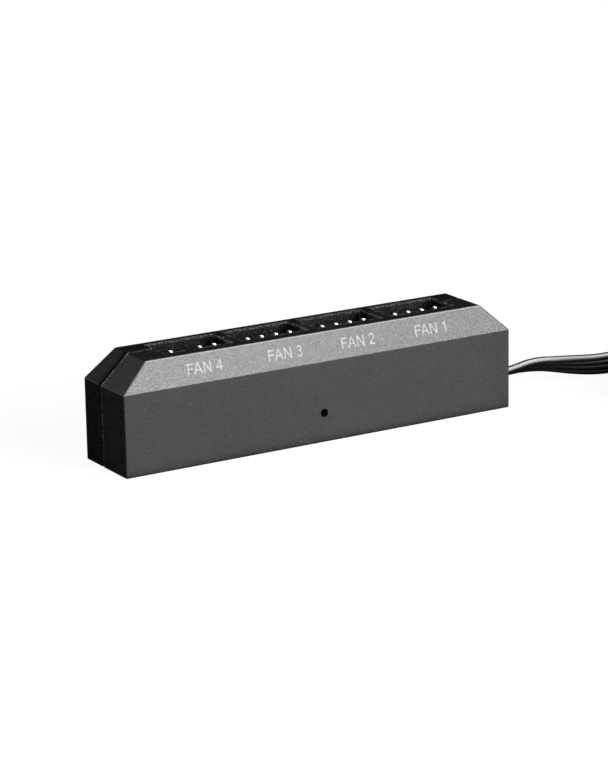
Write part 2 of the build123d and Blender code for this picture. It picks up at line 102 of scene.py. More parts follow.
# %% [markdown]
# ## Shader sums in Python
#
# Every finish below is a graph of nodes. Written node by node, a sum such as `1 - mask * 0.3` takes a
# dozen lines, so a small class wraps a socket and lets Python's own operators add the Math nodes. Any
# other node comes from one method, which sets the node's settings first and its sockets after that.

# %% Sums on sockets


class Value:
    """One output of a shader graph. A sum on it adds a Math node to that graph."""

    def __init__(self, graph, socket):
        self.graph = graph
        self.socket = socket

    def maths(self, operation, first, second=0.0):
        """A Math node of that operation on two numbers or values."""
        return self.graph.node("ShaderNodeMath", {"operation": operation}, {0: first, 1: second})

    def __add__(self, other):
        return self.maths("ADD", self, other)

    def __radd__(self, other):
        return self.maths("ADD", other, self)

    def __sub__(self, other):
        return self.maths("SUBTRACT", self, other)

    def __rsub__(self, other):
        return self.maths("SUBTRACT", other, self)

    def __mul__(self, other):
        return self.maths("MULTIPLY", self, other)

    def __rmul__(self, other):
        return self.maths("MULTIPLY", other, self)

    def __gt__(self, other):
        return self.maths("GREATER_THAN", self, other)

    def __lt__(self, other):
        return self.maths("LESS_THAN", self, other)

    def __abs__(self):
        return self.maths("ABSOLUTE", self)


print("operators:", "+ - * < > abs")

# %% Graph of a finish


def grey(level, warmth=0.0):
    """An almost neutral colour, a little redder than blue where warmth is above 0."""
    return (level * (1 + warmth), level, level * (1 - warmth), 1.0)


class Graph:
    """The node tree of a material or of the world, emptied and ready to be filled."""

    def __init__(self, owner):
        owner.use_nodes = True
        self.tree = owner.node_tree
        self.tree.nodes.clear()

    def node(self, kind, settings=None, inputs=None, output=0):
        """Adds a node of that type, with its settings, then feeds its sockets by name or number."""
        made = self.tree.nodes.new(kind)
        for name, value in (settings or {}).items():
            setattr(made, name, value)
        for key, value in (inputs or {}).items():
            if isinstance(value, Value):
                self.tree.links.new(value.socket, made.inputs[key])
            else:
                made.inputs[key].default_value = value
        return Value(self, made.outputs[output]) if len(made.outputs) else None

    def place(self):
        """Where a point of the surface is, in the object's own frame."""
        return self.node("ShaderNodeTexCoord", output="Object")

    def axis(self, number):
        """One coordinate of that place: 0, 1 or 2 for x, y or z."""
        return self.node("ShaderNodeSeparateXYZ", inputs={0: self.place()}, output=number)

    def grain(self, size, detail=2.0, stretch=(1.0, 1.0, 1.0), shift=0.0):
        """Smooth noise from 0 to 1, with grains about size across, drawn out along an axis by stretch."""
        scale = tuple(1.0 / (size * s) for s in stretch)
        settings = {"operation": "MULTIPLY_ADD"}
        moved = (shift, shift, shift)
        at = self.node("ShaderNodeVectorMath", settings, {0: self.place(), 1: scale, 2: moved})
        return self.node("ShaderNodeTexNoise", inputs={"Vector": at, "Scale": 1.0, "Detail": detail})

    def near_line(self, start, end, reach):
        """1 within reach of the straight line through two points, by the length of a cross product."""
        way = (end - start) / np.linalg.norm(end - start)
        off = self.node("ShaderNodeVectorMath", {"operation": "SUBTRACT"}, {0: self.place(), 1: start})
        away = self.node("ShaderNodeVectorMath", {"operation": "CROSS_PRODUCT"}, {0: off, 1: way})
        return self.node("ShaderNodeVectorMath", {"operation": "LENGTH"}, {0: away}, "Value") < reach

    def blend(self, factor, first, second):
        """A colour between two others."""
        return self.node("ShaderNodeMix", {"data_type": "RGBA"}, {0: factor, 6: first, 7: second}, 2)

    def bump(self, height, depth):
        """A normal tilted by a height from 0 to 1, where 1 stands depth metres proud."""
        return self.node("ShaderNodeBump", inputs={"Strength": 1.0, "Distance": depth, "Height": height})

    def principled(self, inputs, shade=None):
        """The finish itself, which goes black where shade is 1."""
        shader = self.node("ShaderNodeBsdfPrincipled", inputs=inputs)
        if shade is not None:
            black = self.node("ShaderNodeBsdfDiffuse", inputs={"Color": grey(0.0)})
            shader = self.node("ShaderNodeMixShader", inputs={0: shade, 1: shader, 2: black})
        self.node("ShaderNodeOutputMaterial", inputs={"Surface": shader})


print("graph methods:", ", ".join(name for name in vars(Graph) if not name.startswith("_")))

# %% Finishes on solids


def new_finish(name):
    """An empty material and its graph."""
    material = bpy.data.materials.new(name)
    return material, Graph(material)


def dress(material, *names):
    """Gives a finish to solids by name."""
    for name in names:
        slots = nodes[name].data.materials
        slots.clear()
        slots.append(material)
    print(material.name, "on", ", ".join(names))


print("solids to dress:", ", ".join(sorted(nodes)))

# %% [markdown]
# ## Case plastic
#
# The two shells are moulded in black plastic in a spark-eroded tool, which leaves a fine matt grain all
# over. A flat grey with a high roughness would look like paper. Here a grain of about a fifth of a
# millimetre tilts the surface and breaks up its gloss, and a few specks are pale. Pale lines are painted
# highlights along edges: the crest over the labels, the corners of the slope, the mouths and back corners
# of the sockets and the rim of the front shell along the parting line. Each is a mask worked out from
# where a point is. The rear shell is a less glossy copy painted darker, a painted shade. Beside the gap
# between the shells its end slope is mixed towards black, a painted shade, and the gap is painted paler, a
# painted light.

# %% Edges of the case
HEADERS = [f"fan_header_{number}" for number in range(1, 5)]
HEADER_BOXES = [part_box(name) for name in HEADERS]
HEADER_LOW, HEADER_HIGH = HEADER_BOXES[0]
SOCKET_ROOM = Vector((0.2, 0.1, 0.0)) * MM  # between a header and the walls of its socket
PARTING_Y = 1.0 * MM  # the rim of the front shell
SHOULDER = np.array([-35.0, -6.5, 13.0]) * MM  # left end of the foot of the front slope
CREST = np.array([-30.3, -5.0, 17.4]) * MM  # left end of its top
ALONG = np.array([1.0, 0.0, 0.0])
UPWARD = np.array([0.0, 0.0, 1.0])
# widths of the painted highlights along the edges
RIM_HIGHLIGHT_WIDTH = 0.4 * MM
CREST_HIGHLIGHT_WIDTH = 0.2 * MM
MITRE_HIGHLIGHT_WIDTH = 0.13 * MM
MOUTH_HIGHLIGHT_WIDTH = 0.3 * MM
CORNER_HIGHLIGHT_WIDTH = 0.12 * MM
PATCH_SIZE = 0.4 * MM
HALF = 0.5  # the level of a grain that about half of a surface lies above
print("headers:", len(HEADERS), "crest in mm:", (CREST / MM).round(1))

# %% Painted highlights on the case edges
RIM_STRENGTH = 1.6
LOW_RIM = 0.2  # share of it below the slopes
RIGHT_RIM = 0.3  # share of it right of the middle
CREST_STRENGTH = 0.25
MITRE_STRENGTH = 0.3
MOUTH_STRENGTH = 0.4
BACK_MOUTH_EASE = 0.28  # taken off that along the back of the sockets
CORNER_STRENGTH = 0.3


def in_sockets(g):
    """1 in the sockets and just outside them: within a little more than a header's length and depth."""
    margin = 2 * MOUTH_HIGHLIGHT_WIDTH
    beside = sum(abs(g.axis(0) - (a.x + b.x) / 2) < (b.x - a.x) / 2 + margin for a, b in HEADER_BOXES)
    middle = (HEADER_LOW.y + HEADER_HIGH.y) / 2
    across = abs(g.axis(1) - middle) < (HEADER_HIGH.y - HEADER_LOW.y) / 2 + margin
    return beside * across


def rubbed_edges(g, sockets, mouths, back_mouths):
    """Painted highlights along the case's edges, from 0 up: patchy on the rim and the mouths, faint on
    crest and corners.
    """
    patches = g.grain(PATCH_SIZE, shift=3.0)
    rim = (abs(g.axis(1) - (PARTING_Y - RIM_HIGHLIGHT_WIDTH / 2)) < RIM_HIGHLIGHT_WIDTH / 2) * (1.0 - sockets)
    upper = LOW_RIM + (g.axis(2) > SHOULDER[2]) * (1.0 - LOW_RIM)
    leftward = RIGHT_RIM + (g.axis(0) < 0.0) * (1.0 - RIGHT_RIM)
    crest = g.near_line(CREST, CREST + ALONG, CREST_HIGHLIGHT_WIDTH)
    mitre = g.near_line(SHOULDER, CREST, MITRE_HIGHLIGHT_WIDTH)
    corners = [np.array(high + SOCKET_ROOM) for low, high in HEADER_BOXES]
    corner = sum(g.near_line(foot, foot + UPWARD, CORNER_HIGHLIGHT_WIDTH) for foot in corners)
    # The pale lines on the rim, mouths, crest, mitre and socket corners are painted highlights.
    patchy_highlights = rim * upper * leftward * RIM_STRENGTH
    patchy_highlights = patchy_highlights + mouths * MOUTH_STRENGTH - back_mouths * BACK_MOUTH_EASE
    faint = crest * CREST_STRENGTH + mitre * MITRE_STRENGTH + corner * CORNER_STRENGTH
    return patchy_highlights * (patches > HALF) + faint


print("worn widths in mm:", [round(x / MM, 2) for x in (RIM_HIGHLIGHT_WIDTH, CREST_HIGHLIGHT_WIDTH, MITRE_HIGHLIGHT_WIDTH, MOUTH_HIGHLIGHT_WIDTH)])

# %% Case plastic
COARSE_GRAIN = 0.24 * MM
FINE_GRAIN = 0.18 * MM
GRAIN_DEPTH = 0.03 * MM
CLOUD_SIZE = 6.0 * MM
SPECK_SIZE = 0.36 * MM
SPECK_CUT = 0.75  # specks are where their grain is above this
SPECK_LEVEL = 0.06
# grey of the painted highlights along the edges
PAINTED_HIGHLIGHT_LEVEL = 0.6
LAND_DEPTH = 0.05 * MM  # the top face, within this of the crest, is painted darker: painted shade
TOP_PAINTED_SHADE = 0.6
ROUGHNESS = 0.34
ROUGHNESS_SPREAD = 0.44
MOUTH_ROUGHNESS = 0.6  # added along the back of the sockets
GAP_WIDTH = 0.6 * MM
GAP_MARGIN = 0.01 * MM
# pale grey painted in the gap: painted light that lifts its shade
GAP_LIGHT_LEVEL = 0.04
GAP_SHADE_WIDTH = 1.7 * MM  # width of the painted shade on the rear shell's end slope beside the gap
GAP_SHADE_SHARE = 0.7


def case_plastic(name, level, gloss):
    """Black grained plastic of that grey level, which mirrors by gloss: 0.5 is plain plastic."""
    material, g = new_finish(name)
    coarse = g.grain(COARSE_GRAIN)
    fine = g.grain(FINE_GRAIN, 0.0, shift=5.0)
    cloud = g.grain(CLOUD_SIZE)
    specks = g.grain(SPECK_SIZE, 0.0, shift=7.0) > SPECK_CUT
    shade = g.blend(coarse * 1.2 + cloud * 0.4 - 0.3, grey(level * 0.2), grey(level * 1.8))
    land = g.axis(2) > CREST[2] - LAND_DEPTH
    # Painted shade: the top face is blended towards black.
    speckled = g.blend(specks, g.blend(land * TOP_PAINTED_SHADE, shade, grey(0.0)), grey(SPECK_LEVEL))
    # Painted light: the gap is painted a paler grey, which lifts its shade.
    gap_start = PARTING_Y + GAP_MARGIN
    in_gap = (g.axis(1) > gap_start) * (g.axis(1) < gap_start + GAP_WIDTH)
    gap_lightened = g.blend(in_gap * (g.axis(2) < CREST[2] - GAP_WIDTH), speckled, grey(GAP_LIGHT_LEVEL))
    sockets = in_sockets(g)
    mouths = sockets * (g.axis(2) > CREST[2] - MOUTH_HIGHLIGHT_WIDTH)
    back_mouths = mouths * (g.axis(1) > HEADER_HIGH.y - MOUTH_HIGHLIGHT_WIDTH)
    painted_highlight = rubbed_edges(g, sockets, mouths, back_mouths)
    # Painted shade: the rear shell's end slope is mixed towards black beside the gap.
    behind = (g.axis(1) - PARTING_Y) * (1.0 / GAP_SHADE_WIDTH)
    slope = (g.axis(2) > SHOULDER[2]) * (1.0 - land)
    dull = (1.0 - behind) * (behind > 0.0) * (behind < 1.0) * slope
    g.principled({
        # The pale edge lines mixed in here are painted highlights.
        "Base Color": g.blend(painted_highlight, gap_lightened, grey(PAINTED_HIGHLIGHT_LEVEL)),
        "Roughness": ROUGHNESS + (fine - HALF) * ROUGHNESS_SPREAD + back_mouths * MOUTH_ROUGHNESS,
        "Specular IOR Level": gloss,
        "Normal": g.bump(coarse * 0.5 + fine * 0.5, GRAIN_DEPTH),
    }, shade=dull * GAP_SHADE_SHARE)
    return material


dress(case_plastic("front_plastic", level=0.0145, gloss=0.5), "front_shell")
# The rear shell is a darker, less glossy copy of the same plastic: its lower grey level is painted shade.
dress(case_plastic("rear_plastic_painted_shade", level=0.008, gloss=0.27), "rear_shell")

# %% [markdown]
# ## Header plastic
#
# The four headers, the plug and the foot of the can are nylon: black as well, but smoother than the case.
# Under the light they show faint flow marks and fine specks, so the grain is longer and lower here.

# %% Header plastic
FLOW_SIZE = 0.5 * MM
NYLON_SPECK_SIZE = 0.18 * MM
NYLON_SPECK_CUT = 0.61


def header_plastic(name, speck_level):
    """Black nylon with flow marks, and with specks of that grey level."""
    material, g = new_finish(name)
    flow = g.grain(FLOW_SIZE, 3.0, stretch=(3.0, 1.0, 1.0))
    specks = g.grain(NYLON_SPECK_SIZE)
    nylon = g.blend(flow, grey(0.001), grey(0.006))
    g.principled({
        "Base Color": g.blend(specks > NYLON_SPECK_CUT, nylon, grey(speck_level)),
        "Roughness": 0.8 + specks * 0.2,
        "Specular IOR Level": 0.1,
        "Normal": g.bump(flow * 0.4 + specks * 0.6, 0.02 * MM),
    })
    return material


dress(header_plastic("header_plastic", speck_level=0.075), *HEADERS, "capacitor_base")
dress(header_plastic("plug_plastic", speck_level=0.015), "plug_housing")

# %% [markdown]
# ## Metals
#
# The pins and the bare core ends are tinned: bright, with fine draw lines along their length. The tips of
# the pins are matt, and painted dark as a painted shade, with a pale stripe down the middle of each as a
# painted highlight. The can is satin aluminium with a dark mark over its minus side, and the crimp
# terminals are rolled brass. All three are plain metals whose roughness does the work.

# %% Tinned pins and core ends
PINS = [f"header_pins_{number}" for number in range(1, 5)]
TIP_LENGTH = 0.3 * MM
TIP_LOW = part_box(PINS[0])[1].z - TIP_LENGTH
PIN_PITCH = 2.54 * MM
PIN_HALF = 0.32 * MM
TIP_HIGHLIGHT_HALF = 0.2 * MM  # half width of the painted highlight down the middle of the front and back of each pin
TIP_HIGHLIGHT_LEVEL = 0.96
TIP_SHADE_LEVEL = 0.1
PIN_MIDDLES = [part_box(name)[0].x + PIN_HALF + PIN_PITCH * place for name in PINS for place in range(4)]


def tinned_metal():
    """Bright plate, with tips painted dark, a painted shade, but for a painted highlight down the middle
    of each pin.
    """
    material, g = new_finish("tinned_pins")
    lines = g.grain(0.06 * MM, stretch=(1.0, 1.0, 12.0))
    dull = g.grain(0.6 * MM)
    tip = g.axis(2) > TIP_LOW
    tip_highlight = tip * sum(abs(g.axis(0) - middle) < TIP_HIGHLIGHT_HALF for middle in PIN_MIDDLES)
    plate = g.blend(dull, grey(0.9), grey(0.78, 0.01))
    g.principled({
        # The dark tip is painted shade, and the pale stripe down each pin is a painted highlight.
        "Base Color": g.blend(tip_highlight, g.blend(tip, plate, grey(TIP_SHADE_LEVEL)), grey(TIP_HIGHLIGHT_LEVEL)),
        "Metallic": 1.0,
        "Roughness": 0.16 + lines * 0.14 + tip * 0.6,
        "Normal": g.bump(lines, 0.004 * MM),
    })
    return material


dress(tinned_metal(), *PINS, "lead_cores")

# %% Can of the capacitor
CAN_LOW, CAN_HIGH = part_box("bulk_capacitor")
CAN_MARK_X = CAN_LOW.x + 0.3 * (CAN_HIGH.x - CAN_LOW.x)
CAN_MARK_DEPTH = 0.05 * MM


def can_metal():
    """Satin metal with turning marks, and a printed mark over one side of its top."""
    material, g = new_finish("can_aluminium")
    turned = g.grain(0.1 * MM, stretch=(4.0, 4.0, 1.0))
    mark = (g.axis(0) < CAN_MARK_X) * (g.axis(2) > CAN_HIGH.z - CAN_MARK_DEPTH)
    g.principled({
        "Base Color": g.blend(mark, grey(0.76), grey(0.03)),
        "Metallic": 1.0 - mark,
        "Roughness": 0.3 + turned * 0.2,
        "Normal": g.bump(turned, 0.006 * MM),
    })
    return material


dress(can_metal(), "bulk_capacitor")

# %% Crimp terminals


def terminal_brass():
    """Brass with rolling marks."""
    material, g = new_finish("terminal_brass")
    rolled = g.grain(0.12 * MM, stretch=(6.0, 6.0, 1.0))
    g.principled({
        "Base Color": g.blend(rolled, (0.80, 0.66, 0.36, 1.0), (0.66, 0.52, 0.26, 1.0)),
        "Metallic": 1.0,
        "Roughness": 0.22 + rolled * 0.15,
        "Normal": g.bump(rolled, 0.005 * MM),
    })
    return material


dress(terminal_brass(), "plug_terminals")

# %% [markdown]
# ## Board and the parts on it
#
# The board is hidden but for what the openings show, and it still gets its finish: dark solder mask with
# tracks that stand a little proud under it, and bare laminate on its edges. Chip parts have a ceramic
# body between two tinned ends, and the indicator is a white block with a smoked front, which looks black
# while it is off.

# %% Board
BOARD_LOW, BOARD_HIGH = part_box("circuit_board")
FACE_DEPTH = 0.01 * MM  # within this of its top or underside, the board is under solder mask


def solder_mask():
    """Green-black mask over a pattern of tracks, and laminate where neither face is near."""
    material, g = new_finish("board")
    across = g.node("ShaderNodeTexBrick", {"offset": 0.5}, {
        "Vector": g.place(),
        "Scale": 1.0,
        "Mortar Size": 0.12 * MM,
        "Brick Width": 6.3 * MM,
        "Row Height": 1.3 * MM,
    }, "Fac")
    weave = g.grain(0.25 * MM)
    mask = (g.axis(2) > BOARD_HIGH.z - FACE_DEPTH) + (g.axis(2) < BOARD_LOW.z + FACE_DEPTH)
    track = g.blend(across, (0.006, 0.016, 0.010, 1.0), (0.012, 0.034, 0.020, 1.0))
    g.principled({
        "Base Color": g.blend(mask, (0.16, 0.15, 0.08, 1.0), track),
        "Roughness": 0.3 + weave * 0.15 + (1.0 - mask) * 0.3,
        "Normal": g.bump(across * 0.8 + weave * 0.2, 0.03 * MM),
    })
    return material


dress(solder_mask(), "circuit_board")

# %% Chips
CHIP_LOW, CHIP_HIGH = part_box("chip_resistors")
CAP_LOW, CAP_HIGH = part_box("chip_capacitors")
RESISTOR_LENGTH = 1.6 * MM
CHIP_CAP_LENGTH = 0.35 * MM  # tinned length at each end of a chip


def chip_ceramic(name, end_mask):
    """A ceramic body with tinned ends; end_mask gives 1 on the ends."""
    material, g = new_finish(name)
    ends = end_mask(g)
    fired = g.grain(0.1 * MM)
    body = g.blend(fired, (0.05, 0.04, 0.035, 1.0), (0.09, 0.07, 0.05, 1.0))
    g.principled({
        "Base Color": g.blend(ends, body, grey(0.8)),
        "Metallic": ends,
        "Roughness": 0.45 - ends * 0.2 + fired * 0.1,
        "Normal": g.bump(fired, 0.01 * MM),
    })
    return material


def resistor_ends(g):
    """The two resistors lie along x, one each side of the indicator."""
    middle = (CHIP_LOW.x + CHIP_HIGH.x) / 2
    far = (CHIP_HIGH.x - CHIP_LOW.x) / 2
    near = far - RESISTOR_LENGTH
    out = abs(g.axis(0) - middle)
    return (out > far - CHIP_CAP_LENGTH) + (out < near + CHIP_CAP_LENGTH)


def capacitor_ends(g):
    """The chip capacitors lie along y."""
    middle = (CAP_LOW.y + CAP_HIGH.y) / 2
    return abs(g.axis(1) - middle) > (CAP_HIGH.y - CAP_LOW.y) / 2 - CHIP_CAP_LENGTH


dress(chip_ceramic("chip_resistor", resistor_ends), "chip_resistors")
dress(chip_ceramic("chip_capacitor", capacitor_ends), "chip_capacitors")

# %% Indicator
LED_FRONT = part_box("indicator_led")[0].y
LENS_DEPTH = 0.21 * MM


def indicator_resin():
    """A white body with a dark, glossy front."""
    material, g = new_finish("led_resin")
    cloud = g.grain(0.5 * MM)
    lens = g.axis(1) < LED_FRONT + LENS_DEPTH
    body = g.blend(cloud, grey(0.74, 0.02), grey(0.84, 0.02))
    g.principled({
        "Base Color": g.blend(lens, body, grey(0.02)),
        "Roughness": 0.4 - lens * 0.3 + cloud * 0.08,
        "Normal": g.bump(cloud, 0.01 * MM),
    })
    return material


dress(indicator_resin(), "indicator_led")

# %% [markdown]
# ## The lead
#
# The lead is four thin cores side by side in one vinyl jacket. It leaves the case flat, turns on edge as
# it drops, and the spare length is wound in a tied ring with its plug inside. One smooth spline carries
# it: a few listed points up to the ring, and the ring's turns from a loop. A plain round bevel could not
# show the four cores, so a section with four lobes is carried along points read back from that spline.

# %% Route of the lead
ROUTE = np.array([
    (31.6, -1.45, 4.8),
    (36.4, -1.45, 4.82),
    (38.6, -1.45, 4.54),
    (41.6, -1.45, 4.9),
    (46.0, -1.45, 4.58),
    (55.6, -1.45, 2.8),
    (61.8, -1.45, 2.8),
]) * MM
COIL_MIDDLE = np.array([73.2, -21.95, 2.8]) * MM
COIL_RADIUS = 20.5 * MM
COIL_TURNS = 2.0
COIL_PITCH = 1.9 * MM
COIL_STEPS = 36  # points in a turn
TAIL_RADIUS = 10.0 * MM
TAIL_TURN = math.radians(140)
TAIL_STEPS = 12


def arc(middle, radius, turn):
    """Points about a middle, clockwise from the +Y side by turn in radians; the radius may change."""
    angle = math.pi / 2 - turn
    circle = np.stack([np.cos(angle), np.sin(angle), np.zeros_like(angle)], axis=1)
    return middle + np.broadcast_to(radius, angle.shape)[:, None] * circle


def coil_points():
    """A flat spiral that shrinks by one pitch a turn."""
    turns = np.linspace(0, COIL_TURNS, int(COIL_TURNS * COIL_STEPS) + 1)
    return arc(COIL_MIDDLE, COIL_RADIUS - COIL_PITCH * turns, 2 * math.pi * turns)


def tail_points():
    """A tighter arc that carries on from the last turn and curls in to the plug."""
    inner = COIL_RADIUS - COIL_PITCH * COIL_TURNS
    middle = COIL_MIDDLE + np.array([0, inner - TAIL_RADIUS, 0])
    return arc(middle, TAIL_RADIUS, np.linspace(0, TAIL_TURN, TAIL_STEPS + 1)[1:])


print("route points", len(ROUTE), "coil", len(coil_points()), "tail", len(tail_points()))

# %% Line of the lead
LINE_STEPS = 8  # points that the spline adds between two of its own


def lead_line():
    """Points along one smooth spline whose control points are the route, the turns and the tail."""
    points = np.concatenate([ROUTE, coil_points(), tail_points()])
    curve = bpy.data.curves.new("lead_route", "CURVE")
    curve.dimensions = "3D"
    curve.resolution_u = LINE_STEPS
    spline = curve.splines.new("NURBS")
    spline.points.add(len(points) - 1)
    spline.points.foreach_set("co", np.c_[points, np.ones(len(points))].ravel())
    spline.order_u = 3
    spline.use_endpoint_u = True
    carrier = bpy.data.objects.new("lead_route", curve)
    mesh = bpy.data.meshes.new_from_object(carrier)
    line = np.zeros(len(mesh.vertices) * 3)
    mesh.vertices.foreach_get("co", line)
    bpy.data.meshes.remove(mesh)
    bpy.data.objects.remove(carrier)
    bpy.data.curves.remove(curve)
    return line.reshape(-1, 3)


line = lead_line()
along = np.concatenate([[0], np.cumsum(np.linalg.norm(np.diff(line, axis=0), axis=1))])
print("lead points", len(line), "length in mm", round(along[-1] / MM, 1))

# %% [markdown]
# The section is four circles in a row with a thin web between them. At each point of the line it is set
# across the way the lead runs, and turned by a twist that grows from flat at the case to upright at the
# ring. Rings of points joined to their neighbours make the jacket.

# %% Section of the lead
CORE_COUNT = 4
CORE_RADIUS = 0.6 * MM
CORE_PITCH = 1.2 * MM
WEB_ANGLE = math.radians(25)  # where two neighbouring cores meet, seen from a core's middle
ARC_STEPS = 9


def lead_section():
    """Outline of the jacket as (across, up): arcs over each core from left to right, then back below."""
    middle = CORE_PITCH * (np.arange(CORE_COUNT) - (CORE_COUNT - 1) / 2)
    start = np.full(CORE_COUNT, math.pi - WEB_ANGLE)
    end = np.full(CORE_COUNT, WEB_ANGLE)
    start[0] = math.pi
    end[-1] = 0.0
    share = np.linspace(0, 1, ARC_STEPS)
    angle = start[:, None] + (end - start)[:, None] * share
    across = (middle[:, None] + CORE_RADIUS * np.cos(angle)).ravel()
    up = (CORE_RADIUS * np.sin(angle)).ravel()
    return np.concatenate([across, across[-2:0:-1]]), np.concatenate([up, -up[-2:0:-1]])


print("points round the jacket:", len(lead_section()[0]))

# %% Jacket of the lead
TWIST_AT = np.array([0.0, 3.4, 5.0, 6.6, 8.5, 11.0, 15.0, 41.6]) * MM  # from the inner end
TWIST = np.radians([0.0, 2.0, 12.0, 23.0, 29.0, 32.5, 34.0, 90.0])


def sweep(line, section, twist):
    """Rings of points: each is the section, its width turned by twist from level towards upright."""
    heading = np.gradient(line, axis=0)
    heading /= np.linalg.norm(heading, axis=1)[:, None]
    level = np.cross(heading, [0.0, 0.0, 1.0])
    level /= np.linalg.norm(level, axis=1)[:, None]
    upright = np.cross(level, heading)
    cosine = np.cos(twist)[:, None]
    sine = np.sin(twist)[:, None]
    width = cosine * level + sine * upright
    thick = cosine * upright - sine * level
    across, up = section
    return line[:, None] + across[:, None] * width[:, None] + up[:, None] * thick[:, None]


def tube_mesh(name, rings):
    """A closed tube: quads between neighbouring rings, and a face over each end."""
    count, around = rings.shape[:2]
    ring = np.arange(count - 1)[:, None] * around
    here = np.arange(around)
    after = np.roll(here, -1)
    quads = np.stack([ring + here, ring + after, ring + around + after, ring + around + here], axis=2)
    faces = quads.reshape(-1, 4).tolist()
    faces += [here[::-1].tolist(), (here + (count - 1) * around).tolist()]
    mesh = bpy.data.meshes.new(name)
    mesh.from_pydata(rings.reshape(-1, 3).tolist(), [], faces)
    mesh.polygons.foreach_set("use_smooth", np.arange(len(faces)) < len(faces) - 2)
    mesh.update()
    return mesh


rings = sweep(line, lead_section(), np.interp(along, TWIST_AT, TWIST))
print("rings", len(rings))


def add_piece(name, mesh, material):
    """A new piece of the object, which rides on its one body."""
    piece = bpy.data.objects.new(name, mesh)
    bpy.context.scene.collection.objects.link(piece)
    mesh.materials.append(material)
    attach(piece, "root")
    return piece


def lead_vinyl():
    """Glossy black vinyl, with faint marks from drawing."""
    material, g = new_finish("lead_jacket")
    drawn = g.grain(0.25 * MM, stretch=(10.0, 10.0, 1.0))
    fine = g.grain(0.2 * MM)
    g.principled({
        "Base Color": g.blend(drawn, grey(0.003), grey(0.008)),
        "Roughness": 0.3 + fine * 0.14,
        "Specular IOR Level": 1.0,
        "Normal": g.bump(drawn * 0.5 + fine * 0.5, 0.012 * MM),
    })
    return material


vinyl = lead_vinyl()
lead = add_piece("lead", tube_mesh("lead", rings), vinyl)
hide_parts("lead_ribbon", "lead_coil")
dress(vinyl, "lead_fanout")
print("lead faces", len(lead.data.polygons))

# %% [markdown]
# The tie round the ring is a nylon strap. Its band has fine teeth, which a wave of bumps stands for.

# %% Tie
TOOTH_WAVE = 2.2 * MM


def tie_nylon():
    """Black nylon with bands of bumps along its height."""
    material, g = new_finish("tie_nylon")
    waves = {"Vector": g.place(), "Scale": 1.0 / TOOTH_WAVE}
    teeth = g.node("ShaderNodeTexWave", {"bands_direction": "Z"}, waves)
    cloud = g.grain(0.8 * MM)
    g.principled({
        "Base Color": g.blend(cloud, grey(0.022), grey(0.034)),
        "Roughness": 0.3 + cloud * 0.15,
        "Normal": g.bump(teeth, 0.05 * MM),
    })
    return material


dress(tie_nylon(), "lead_tie")

# %% [markdown]
# ## Labels
#
# Each socket has its number printed in front of it, on the slope of the shell. The print is a film of pale
# ink. Blender's own letters are too thin for it, so the few that are needed are drawn here as outlines, in
# thousandths of the type size. Flat curves fill them, are made a mesh, and the mesh's own points are then
# set on the slope, so that the piece itself stays at the origin.

# %% Letters
BOW_STEPS = 15


def bow(middle, radius, start, end):
    """Points on a circle from one angle to another, in degrees."""
    angle = np.radians(np.linspace(start, end, BOW_STEPS))
    return np.array(middle) + radius * np.stack([np.cos(angle), np.sin(angle)], axis=1)


LETTERS = {
    "F": [[(82, 0), (82, 716), (565, 716), (565, 631), (177, 631), (177, 410), (513, 410), (513, 325),
           (177, 325), (177, 0)]],
    "A": [[(-1, 0), (274, 716), (376, 716), (669, 0), (561, 0), (478, 217), (178, 217), (99, 0)],
          [(205, 294), (448, 294), (325, 632)]],
    "N": [[(76, 0), (76, 716), (173, 716), (549, 154), (549, 716), (640, 716), (640, 0), (543, 0),
           (167, 563), (167, 0)]],
    "1": [[(373, 0), (285, 0), (285, 560), (202, 500), (109, 455), (109, 540), (226, 613), (316, 719),
           (373, 719)]],
    "2": [np.concatenate([
        bow((262, 513), 206, 172, -38),
        [(152, 84), (503, 84), (503, 0), (30, 0), (52, 84)],
        bow((262, 513), 118, -45, 172),
    ])],
    "3": [np.concatenate([
        bow((258, 531), 194, 168, -50),
        bow((268, 203), 216, 57, -168),
        bow((268, 203), 128, -168, 90),
        [(205, 331), (205, 425)],
        bow((258, 531), 106, -90, 168),
    ])],
    "4": [[(323, 0), (323, 171), (13, 171), (13, 252), (339, 716), (411, 716), (411, 252), (508, 252),
           (508, 171), (411, 171), (411, 0)],
          [(323, 252), (323, 575), (100, 252)]],
}
print("letters drawn:", " ".join(LETTERS))

# %% Word and number as a flat mesh
WORD = "FAN"
WORD_STARTS = [0, 556, 1223]
NUMBER_START = 2223
LETTER_LEFT = 82  # left side of the first letter
LETTER_HEIGHT = 716


def label_shape(number):
    """The word and its number as a mesh one unit thick, with its points as an array."""
    curve = bpy.data.curves.new("label", "CURVE")
    curve.dimensions = "2D"
    curve.fill_mode = "BOTH"
    curve.extrude = 0.5
    for letter, start in zip(WORD + str(number), WORD_STARTS + [NUMBER_START]):
        for outline in LETTERS[letter]:
            flat = np.array(outline) + [start - LETTER_LEFT, 0]
            spline = curve.splines.new("POLY")
            spline.points.add(len(flat) - 1)
            points = np.c_[flat, np.zeros(len(flat)), np.ones(len(flat))]
            spline.points.foreach_set("co", points.ravel())
            spline.use_cyclic_u = True
    carrier = bpy.data.objects.new("label", curve)
    mesh = bpy.data.meshes.new_from_object(carrier)
    points = np.zeros(len(mesh.vertices) * 3)
    mesh.vertices.foreach_get("co", points)
    bpy.data.objects.remove(carrier)
    bpy.data.curves.remove(curve)
    return mesh, points.reshape(-1, 3)


print("letters of a label start at", WORD_STARTS + [NUMBER_START])

# %% Labels
LABEL_LEFT = {4: -23.68, 3: -9.47, 2: 3.75, 1: 17.38}  # left edge of each label, in mm
LETTER_SQUEEZE = 0.96  # width of the letters against their height
CAP_HEIGHT = 1.72 * MM
BASELINE_Z = 14.36 * MM
INK_THICKNESS = 0.03 * MM


